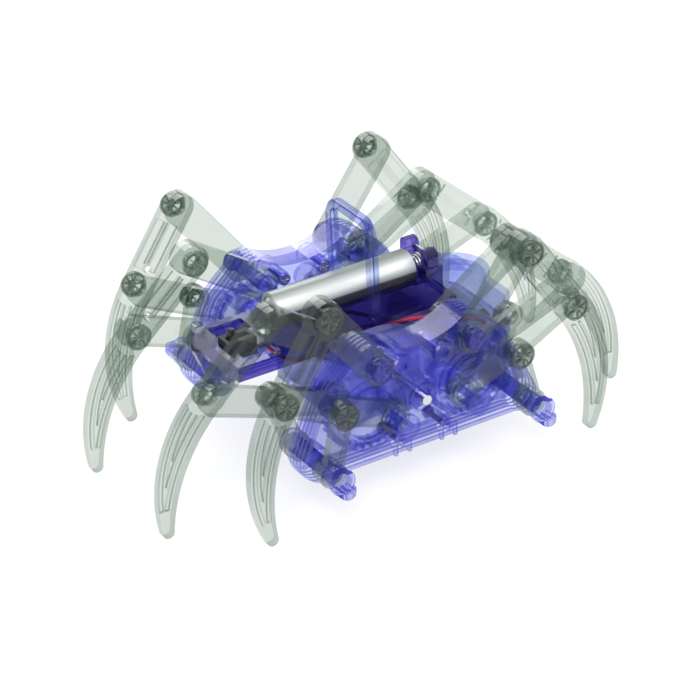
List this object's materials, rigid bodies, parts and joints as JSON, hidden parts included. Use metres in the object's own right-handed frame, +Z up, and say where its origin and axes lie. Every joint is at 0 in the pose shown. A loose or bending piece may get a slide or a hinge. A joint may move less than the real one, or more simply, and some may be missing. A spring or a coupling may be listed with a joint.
{
  "type": "eight-legged walking toy robot",
  "caption": "Small clear-plastic walking spider robot: two leg modules with crank-driven linkage legs beside a geared centre section that carries a battery cell",
  "frame": {"origin": "centre of the bounding box on the surface that the toes stand on", "axes": "+Z up, +X the walking direction and longest extent, the right-hand leg module at -Y"},
  "size_m": [0.1482, 0.0974, 0.0669],
  "materials": {
    "violet_plastic": "clear violet-blue moulded plastic, glossy",
    "pale_violet_plastic": "thin clear violet-blue moulded plastic, glossy",
    "clear_leg_plastic": "clear grey-green moulded plastic, glossy",
    "cell_wrap": "satin silver wrap with a dark band, unmarked",
    "steel": "bright steel",
    "motor_steel": "plated steel can",
    "brass": "turned brass",
    "white_gear_plastic": "plain off-white moulded plastic",
    "wire_insulation": "soft wire insulation, one red and one black",
    "black_plastic": "black moulded plastic"
  },
  "bodies": {
    "chassis": {"right_outer_plate": "violet_plastic", "right_inner_plate": "violet_plastic", "left_outer_plate": "violet_plastic", "left_inner_plate": "violet_plastic", "gearbox_housing": "violet_plastic", "battery_holder": "violet_plastic", "bail_handle": "pale_violet_plastic", "hood": "pale_violet_plastic", "battery_cell": "cell_wrap", "contact_spring": "steel", "contact_plate": "steel", "lead_wires": "wire_insulation", "motor": "motor_steel", "lower_axles": "violet_plastic", "axle_caps": "violet_plastic", "upper_pivot_pins": "violet_plastic", "screws": "steel", "switch_housing": "black_plastic"},
    "drive_shaft": {"drive_shaft": "steel", "drive_pinions": "violet_plastic", "shaft_gear": "white_gear_plastic"},
    "reduction_gear": {"reduction_gear": "white_gear_plastic"},
    "motor_rotor": {"motor_pinion": "brass"},
    "switch_slider": {"switch_slider": "black_plastic"},
    "right_front_crank": {"right_front_crank_gear": "violet_plastic"},
    "right_front_outer_shin": {"right_front_outer_shin": "clear_leg_plastic"},
    "right_front_outer_coupler": {"right_front_outer_coupler": "clear_leg_plastic"},
    "right_front_outer_upper_rocker": {"right_front_outer_upper_rocker": "clear_leg_plastic"},
    "right_front_outer_lower_rocker": {"right_front_outer_lower_rocker": "clear_leg_plastic"},
    "right_front_inner_shin": {"right_front_inner_shin": "clear_leg_plastic"},
    "right_front_inner_coupler": {"right_front_inner_coupler": "clear_leg_plastic"},
    "right_front_inner_upper_rocker": {"right_front_inner_upper_rocker": "clear_leg_plastic"},
    "right_front_inner_lower_rocker": {"right_front_inner_lower_rocker": "clear_leg_plastic"},
    "right_rear_crank": {"right_rear_crank_gear": "violet_plastic"},
    "right_rear_outer_shin": {"right_rear_outer_shin": "clear_leg_plastic"},
    "right_rear_outer_coupler": {"right_rear_outer_coupler": "clear_leg_plastic"},
    "right_rear_outer_upper_rocker": {"right_rear_outer_upper_rocker": "clear_leg_plastic"},
    "right_rear_outer_lower_rocker": {"right_rear_outer_lower_rocker": "clear_leg_plastic"},
    "right_rear_inner_shin": {"right_rear_inner_shin": "clear_leg_plastic"},
    "right_rear_inner_coupler": {"right_rear_inner_coupler": "clear_leg_plastic"},
    "right_rear_inner_upper_rocker": {"right_rear_inner_upper_rocker": "clear_leg_plastic"},
    "right_rear_inner_lower_rocker": {"right_rear_inner_lower_rocker": "clear_leg_plastic"},
    "left_front_crank": {"left_front_crank_gear": "violet_plastic"},
    "left_front_outer_shin": {"left_front_outer_shin": "clear_leg_plastic"},
    "left_front_outer_coupler": {"left_front_outer_coupler": "clear_leg_plastic"},
    "left_front_outer_upper_rocker": {"left_front_outer_upper_rocker": "clear_leg_plastic"},
    "left_front_outer_lower_rocker": {"left_front_outer_lower_rocker": "clear_leg_plastic"},
    "left_front_inner_shin": {"left_front_inner_shin": "clear_leg_plastic"},
    "left_front_inner_coupler": {"left_front_inner_coupler": "clear_leg_plastic"},
    "left_front_inner_upper_rocker": {"left_front_inner_upper_rocker": "clear_leg_plastic"},
    "left_front_inner_lower_rocker": {"left_front_inner_lower_rocker": "clear_leg_plastic"},
    "left_rear_crank": {"left_rear_crank_gear": "violet_plastic"},
    "left_rear_outer_shin": {"left_rear_outer_shin": "clear_leg_plastic"},
    "left_rear_outer_coupler": {"left_rear_outer_coupler": "clear_leg_plastic"},
    "left_rear_outer_upper_rocker": {"left_rear_outer_upper_rocker": "clear_leg_plastic"},
    "left_rear_outer_lower_rocker": {"left_rear_outer_lower_rocker": "clear_leg_plastic"},
    "left_rear_inner_shin": {"left_rear_inner_shin": "clear_leg_plastic"},
    "left_rear_inner_coupler": {"left_rear_inner_coupler": "clear_leg_plastic"},
    "left_rear_inner_upper_rocker": {"left_rear_inner_upper_rocker": "clear_leg_plastic"},
    "left_rear_inner_lower_rocker": {"left_rear_inner_lower_rocker": "clear_leg_plastic"}
  },
  "joints": [
    {"name": "drive_shaft_turn", "type": "hinge", "parent": "chassis", "child": "drive_shaft", "pos_m": [0, 0, 0.02485], "axis": [0, -1, 0], "range_deg": [-93.33, 93.33]},
    {"name": "reduction_gear_turn", "type": "hinge", "parent": "chassis", "child": "reduction_gear", "pos_m": [0.0138, 0, 0.02485], "axis": [0, -1, 0], "range_deg": [-339.56, 339.56]},
    {"name": "motor_turn", "type": "hinge", "parent": "chassis", "child": "motor_rotor", "pos_m": [0.027, 0, 0.02485], "axis": [0, -1, 0], "range_deg": [-1527.32, 1527.32]},
    {"name": "right_front_crank_turn", "type": "hinge", "parent": "chassis", "child": "right_front_crank", "pos_m": [0.016, -0.0299, 0.02485], "axis": [0, -1, 0], "range_deg": [-40.6, 40.6]},
    {"name": "right_front_outer_lower_pivot", "type": "hinge", "parent": "chassis", "child": "right_front_outer_lower_rocker", "pos_m": [0.0318, -0.0379, 0.01465], "axis": [0, -1, 0], "range_deg": [-3.15, 3.15]},
    {"name": "right_front_outer_knee_pivot", "type": "hinge", "parent": "right_front_outer_lower_rocker", "child": "right_front_outer_coupler", "pos_m": [0.02759, -0.0379, 0.03122], "axis": [0, -1, 0], "range_deg": [-7.88, 7.88]},
    {"name": "right_front_outer_upper_pivot", "type": "hinge", "parent": "chassis", "child": "right_front_outer_upper_rocker", "pos_m": [0.0148, -0.0379, 0.03925], "axis": [0, -1, 0], "range_deg": [-9.01, 9.01]},
    {"name": "right_front_outer_shin_pivot", "type": "hinge", "parent": "right_front_outer_upper_rocker", "child": "right_front_outer_shin", "pos_m": [0.03115, -0.0379, 0.06098], "axis": [0, -1, 0], "range_deg": [-6.79, 6.79]},
    {"name": "right_front_inner_lower_pivot", "type": "hinge", "parent": "chassis", "child": "right_front_inner_lower_rocker", "pos_m": [0.0318, -0.0219, 0.01465], "axis": [0, -1, 0], "range_deg": [-2.02, 2.02]},
    {"name": "right_front_inner_knee_pivot", "type": "hinge", "parent": "right_front_inner_lower_rocker", "child": "right_front_inner_coupler", "pos_m": [0.03779, -0.0219, 0.03066], "axis": [0, -1, 0], "range_deg": [-8.68, 8.68]},
    {"name": "right_front_inner_upper_pivot", "type": "hinge", "parent": "chassis", "child": "right_front_inner_upper_rocker", "pos_m": [0.0148, -0.0219, 0.03925], "axis": [0, -1, 0], "range_deg": [-8.2, 8.2]},
    {"name": "right_front_inner_shin_pivot", "type": "hinge", "parent": "right_front_inner_upper_rocker", "child": "right_front_inner_shin", "pos_m": [0.03755, -0.0219, 0.05416], "axis": [0, -1, 0], "range_deg": [-7.15, 7.15]},
    {"name": "right_rear_crank_turn", "type": "hinge", "parent": "chassis", "child": "right_rear_crank", "pos_m": [-0.016, -0.0299, 0.02485], "axis": [0, -1, 0], "range_deg": [-40.6, 40.6]},
    {"name": "right_rear_outer_lower_pivot", "type": "hinge", "parent": "chassis", "child": "right_rear_outer_lower_rocker", "pos_m": [-0.0318, -0.0379, 0.01465], "axis": [0, -1, 0], "range_deg": [-3.15, 3.15]},
    {"name": "right_rear_outer_knee_pivot", "type": "hinge", "parent": "right_rear_outer_lower_rocker", "child": "right_rear_outer_coupler", "pos_m": [-0.02759, -0.0379, 0.03122], "axis": [0, -1, 0], "range_deg": [-7.88, 7.88]},
    {"name": "right_rear_outer_upper_pivot", "type": "hinge", "parent": "chassis", "child": "right_rear_outer_upper_rocker", "pos_m": [-0.0148, -0.0379, 0.03925], "axis": [0, -1, 0], "range_deg": [-9.01, 9.01]},
    {"name": "right_rear_outer_shin_pivot", "type": "hinge", "parent": "right_rear_outer_upper_rocker", "child": "right_rear_outer_shin", "pos_m": [-0.03115, -0.0379, 0.06098], "axis": [0, -1, 0], "range_deg": [-6.79, 6.79]},
    {"name": "right_rear_inner_lower_pivot", "type": "hinge", "parent": "chassis", "child": "right_rear_inner_lower_rocker", "pos_m": [-0.0318, -0.0219, 0.01465], "axis": [0, -1, 0], "range_deg": [-2.02, 2.02]},
    {"name": "right_rear_inner_knee_pivot", "type": "hinge", "parent": "right_rear_inner_lower_rocker", "child": "right_rear_inner_coupler", "pos_m": [-0.03779, -0.0219, 0.03066], "axis": [0, -1, 0], "range_deg": [-8.68, 8.68]},
    {"name": "right_rear_inner_upper_pivot", "type": "hinge", "parent": "chassis", "child": "right_rear_inner_upper_rocker", "pos_m": [-0.0148, -0.0219, 0.03925], "axis": [0, -1, 0], "range_deg": [-8.2, 8.2]},
    {"name": "right_rear_inner_shin_pivot", "type": "hinge", "parent": "right_rear_inner_upper_rocker", "child": "right_rear_inner_shin", "pos_m": [-0.03755, -0.0219, 0.05416], "axis": [0, -1, 0], "range_deg": [-7.15, 7.15]},
    {"name": "left_front_crank_turn", "type": "hinge", "parent": "chassis", "child": "left_front_crank", "pos_m": [0.016, 0.0299, 0.02485], "axis": [0, -1, 0], "range_deg": [-40.6, 40.6]},
    {"name": "left_front_outer_lower_pivot", "type": "hinge", "parent": "chassis", "child": "left_front_outer_lower_rocker", "pos_m": [0.0318, 0.0379, 0.01465], "axis": [0, -1, 0], "range_deg": [-3.15, 3.15]},
    {"name": "left_front_outer_knee_pivot", "type": "hinge", "parent": "left_front_outer_lower_rocker", "child": "left_front_outer_coupler", "pos_m": [0.02759, 0.0379, 0.03122], "axis": [0, -1, 0], "range_deg": [-7.88, 7.88]},
    {"name": "left_front_outer_upper_pivot", "type": "hinge", "parent": "chassis", "child": "left_front_outer_upper_rocker", "pos_m": [0.0148, 0.0379, 0.03925], "axis": [0, -1, 0], "range_deg": [-9.01, 9.01]},
    {"name": "left_front_outer_shin_pivot", "type": "hinge", "parent": "left_front_outer_upper_rocker", "child": "left_front_outer_shin", "pos_m": [0.03115, 0.0379, 0.06098], "axis": [0, -1, 0], "range_deg": [-6.79, 6.79]},
    {"name": "left_front_inner_lower_pivot", "type": "hinge", "parent": "chassis", "child": "left_front_inner_lower_rocker", "pos_m": [0.0318, 0.0219, 0.01465], "axis": [0, -1, 0], "range_deg": [-2.02, 2.02]},
    {"name": "left_front_inner_knee_pivot", "type": "hinge", "parent": "left_front_inner_lower_rocker", "child": "left_front_inner_coupler", "pos_m": [0.03779, 0.0219, 0.03066], "axis": [0, -1, 0], "range_deg": [-8.68, 8.68]},
    {"name": "left_front_inner_upper_pivot", "type": "hinge", "parent": "chassis", "child": "left_front_inner_upper_rocker", "pos_m": [0.0148, 0.0219, 0.03925], "axis": [0, -1, 0], "range_deg": [-8.2, 8.2]},
    {"name": "left_front_inner_shin_pivot", "type": "hinge", "parent": "left_front_inner_upper_rocker", "child": "left_front_inner_shin", "pos_m": [0.03755, 0.0219, 0.05416], "axis": [0, -1, 0], "range_deg": [-7.15, 7.15]},
    {"name": "left_rear_crank_turn", "type": "hinge", "parent": "chassis", "child": "left_rear_crank", "pos_m": [-0.016, 0.0299, 0.02485], "axis": [0, -1, 0], "range_deg": [-40.6, 40.6]},
    {"name": "left_rear_outer_lower_pivot", "type": "hinge", "parent": "chassis", "child": "left_rear_outer_lower_rocker", "pos_m": [-0.0318, 0.0379, 0.01465], "axis": [0, -1, 0], "range_deg": [-3.15, 3.15]},
    {"name": "left_rear_outer_knee_pivot", "type": "hinge", "parent": "left_rear_outer_lower_rocker", "child": "left_rear_outer_coupler", "pos_m": [-0.02759, 0.0379, 0.03122], "axis": [0, -1, 0], "range_deg": [-7.88, 7.88]},
    {"name": "left_rear_outer_upper_pivot", "type": "hinge", "parent": "chassis", "child": "left_rear_outer_upper_rocker", "pos_m": [-0.0148, 0.0379, 0.03925], "axis": [0, -1, 0], "range_deg": [-9.01, 9.01]},
    {"name": "left_rear_outer_shin_pivot", "type": "hinge", "parent": "left_rear_outer_upper_rocker", "child": "left_rear_outer_shin", "pos_m": [-0.03115, 0.0379, 0.06098], "axis": [0, -1, 0], "range_deg": [-6.79, 6.79]},
    {"name": "left_rear_inner_lower_pivot", "type": "hinge", "parent": "chassis", "child": "left_rear_inner_lower_rocker", "pos_m": [-0.0318, 0.0219, 0.01465], "axis": [0, -1, 0], "range_deg": [-2.02, 2.02]},
    {"name": "left_rear_inner_knee_pivot", "type": "hinge", "parent": "left_rear_inner_lower_rocker", "child": "left_rear_inner_coupler", "pos_m": [-0.03779, 0.0219, 0.03066], "axis": [0, -1, 0], "range_deg": [-8.68, 8.68]},
    {"name": "left_rear_inner_upper_pivot", "type": "hinge", "parent": "chassis", "child": "left_rear_inner_upper_rocker", "pos_m": [-0.0148, 0.0219, 0.03925], "axis": [0, -1, 0], "range_deg": [-8.2, 8.2]},
    {"name": "left_rear_inner_shin_pivot", "type": "hinge", "parent": "left_rear_inner_upper_rocker", "child": "left_rear_inner_shin", "pos_m": [-0.03755, 0.0219, 0.05416], "axis": [0, -1, 0], "range_deg": [-7.15, 7.15]},
    {"name": "switch_slide", "type": "slide", "parent": "chassis", "child": "switch_slider", "axis": [1, 0, 0], "range_m": [0, 0.0032]}
  ],
  "couplings": [
    {"joint": "reduction_gear_turn", "follows": "drive_shaft_turn", "ratio": -3.6},
    {"joint": "motor_turn", "follows": "drive_shaft_turn", "ratio": 16.2},
    {"joint": "right_front_crank_turn", "follows": "drive_shaft_turn", "ratio": -0.42857},
    {"joint": "right_front_outer_lower_pivot", "follows": "drive_shaft_turn", "ratio": -0.031286},
    {"joint": "right_front_outer_knee_pivot", "follows": "drive_shaft_turn", "ratio": -0.081429},
    {"joint": "right_front_outer_upper_pivot", "follows": "drive_shaft_turn", "ratio": -0.093429},
    {"joint": "right_front_outer_shin_pivot", "follows": "drive_shaft_turn", "ratio": 0.069857},
    {"joint": "right_front_inner_lower_pivot", "follows": "drive_shaft_turn", "ratio": 0.019286},
    {"joint": "right_front_inner_knee_pivot", "follows": "drive_shaft_turn", "ratio": 0.09},
    {"joint": "right_front_inner_upper_pivot", "follows": "drive_shaft_turn", "ratio": 0.084857},
    {"joint": "right_front_inner_shin_pivot", "follows": "drive_shaft_turn", "ratio": -0.073714},
    {"joint": "right_rear_crank_turn", "follows": "drive_shaft_turn", "ratio": -0.42857},
    {"joint": "right_rear_outer_lower_pivot", "follows": "drive_shaft_turn", "ratio": -0.031286},
    {"joint": "right_rear_outer_knee_pivot", "follows": "drive_shaft_turn", "ratio": -0.081429},
    {"joint": "right_rear_outer_upper_pivot", "follows": "drive_shaft_turn", "ratio": -0.093429},
    {"joint": "right_rear_outer_shin_pivot", "follows": "drive_shaft_turn", "ratio": 0.069857},
    {"joint": "right_rear_inner_lower_pivot", "follows": "drive_shaft_turn", "ratio": 0.019286},
    {"joint": "right_rear_inner_knee_pivot", "follows": "drive_shaft_turn", "ratio": 0.09},
    {"joint": "right_rear_inner_upper_pivot", "follows": "drive_shaft_turn", "ratio": 0.084857},
    {"joint": "right_rear_inner_shin_pivot", "follows": "drive_shaft_turn", "ratio": -0.073714},
    {"joint": "left_front_crank_turn", "follows": "drive_shaft_turn", "ratio": -0.42857},
    {"joint": "left_front_outer_lower_pivot", "follows": "drive_shaft_turn", "ratio": -0.031286},
    {"joint": "left_front_outer_knee_pivot", "follows": "drive_shaft_turn", "ratio": -0.081429},
    {"joint": "left_front_outer_upper_pivot", "follows": "drive_shaft_turn", "ratio": -0.093429},
    {"joint": "left_front_outer_shin_pivot", "follows": "drive_shaft_turn", "ratio": 0.069857},
    {"joint": "left_front_inner_lower_pivot", "follows": "drive_shaft_turn", "ratio": 0.019286},
    {"joint": "left_front_inner_knee_pivot", "follows": "drive_shaft_turn", "ratio": 0.09},
    {"joint": "left_front_inner_upper_pivot", "follows": "drive_shaft_turn", "ratio": 0.084857},
    {"joint": "left_front_inner_shin_pivot", "follows": "drive_shaft_turn", "ratio": -0.073714},
    {"joint": "left_rear_crank_turn", "follows": "drive_shaft_turn", "ratio": -0.42857},
    {"joint": "left_rear_outer_lower_pivot", "follows": "drive_shaft_turn", "ratio": -0.031286},
    {"joint": "left_rear_outer_knee_pivot", "follows": "drive_shaft_turn", "ratio": -0.081429},
    {"joint": "left_rear_outer_upper_pivot", "follows": "drive_shaft_turn", "ratio": -0.093429},
    {"joint": "left_rear_outer_shin_pivot", "follows": "drive_shaft_turn", "ratio": 0.069857},
    {"joint": "left_rear_inner_lower_pivot", "follows": "drive_shaft_turn", "ratio": 0.019286},
    {"joint": "left_rear_inner_knee_pivot", "follows": "drive_shaft_turn", "ratio": 0.09},
    {"joint": "left_rear_inner_upper_pivot", "follows": "drive_shaft_turn", "ratio": 0.084857},
    {"joint": "left_rear_inner_shin_pivot", "follows": "drive_shaft_turn", "ratio": -0.073714}
  ]
}
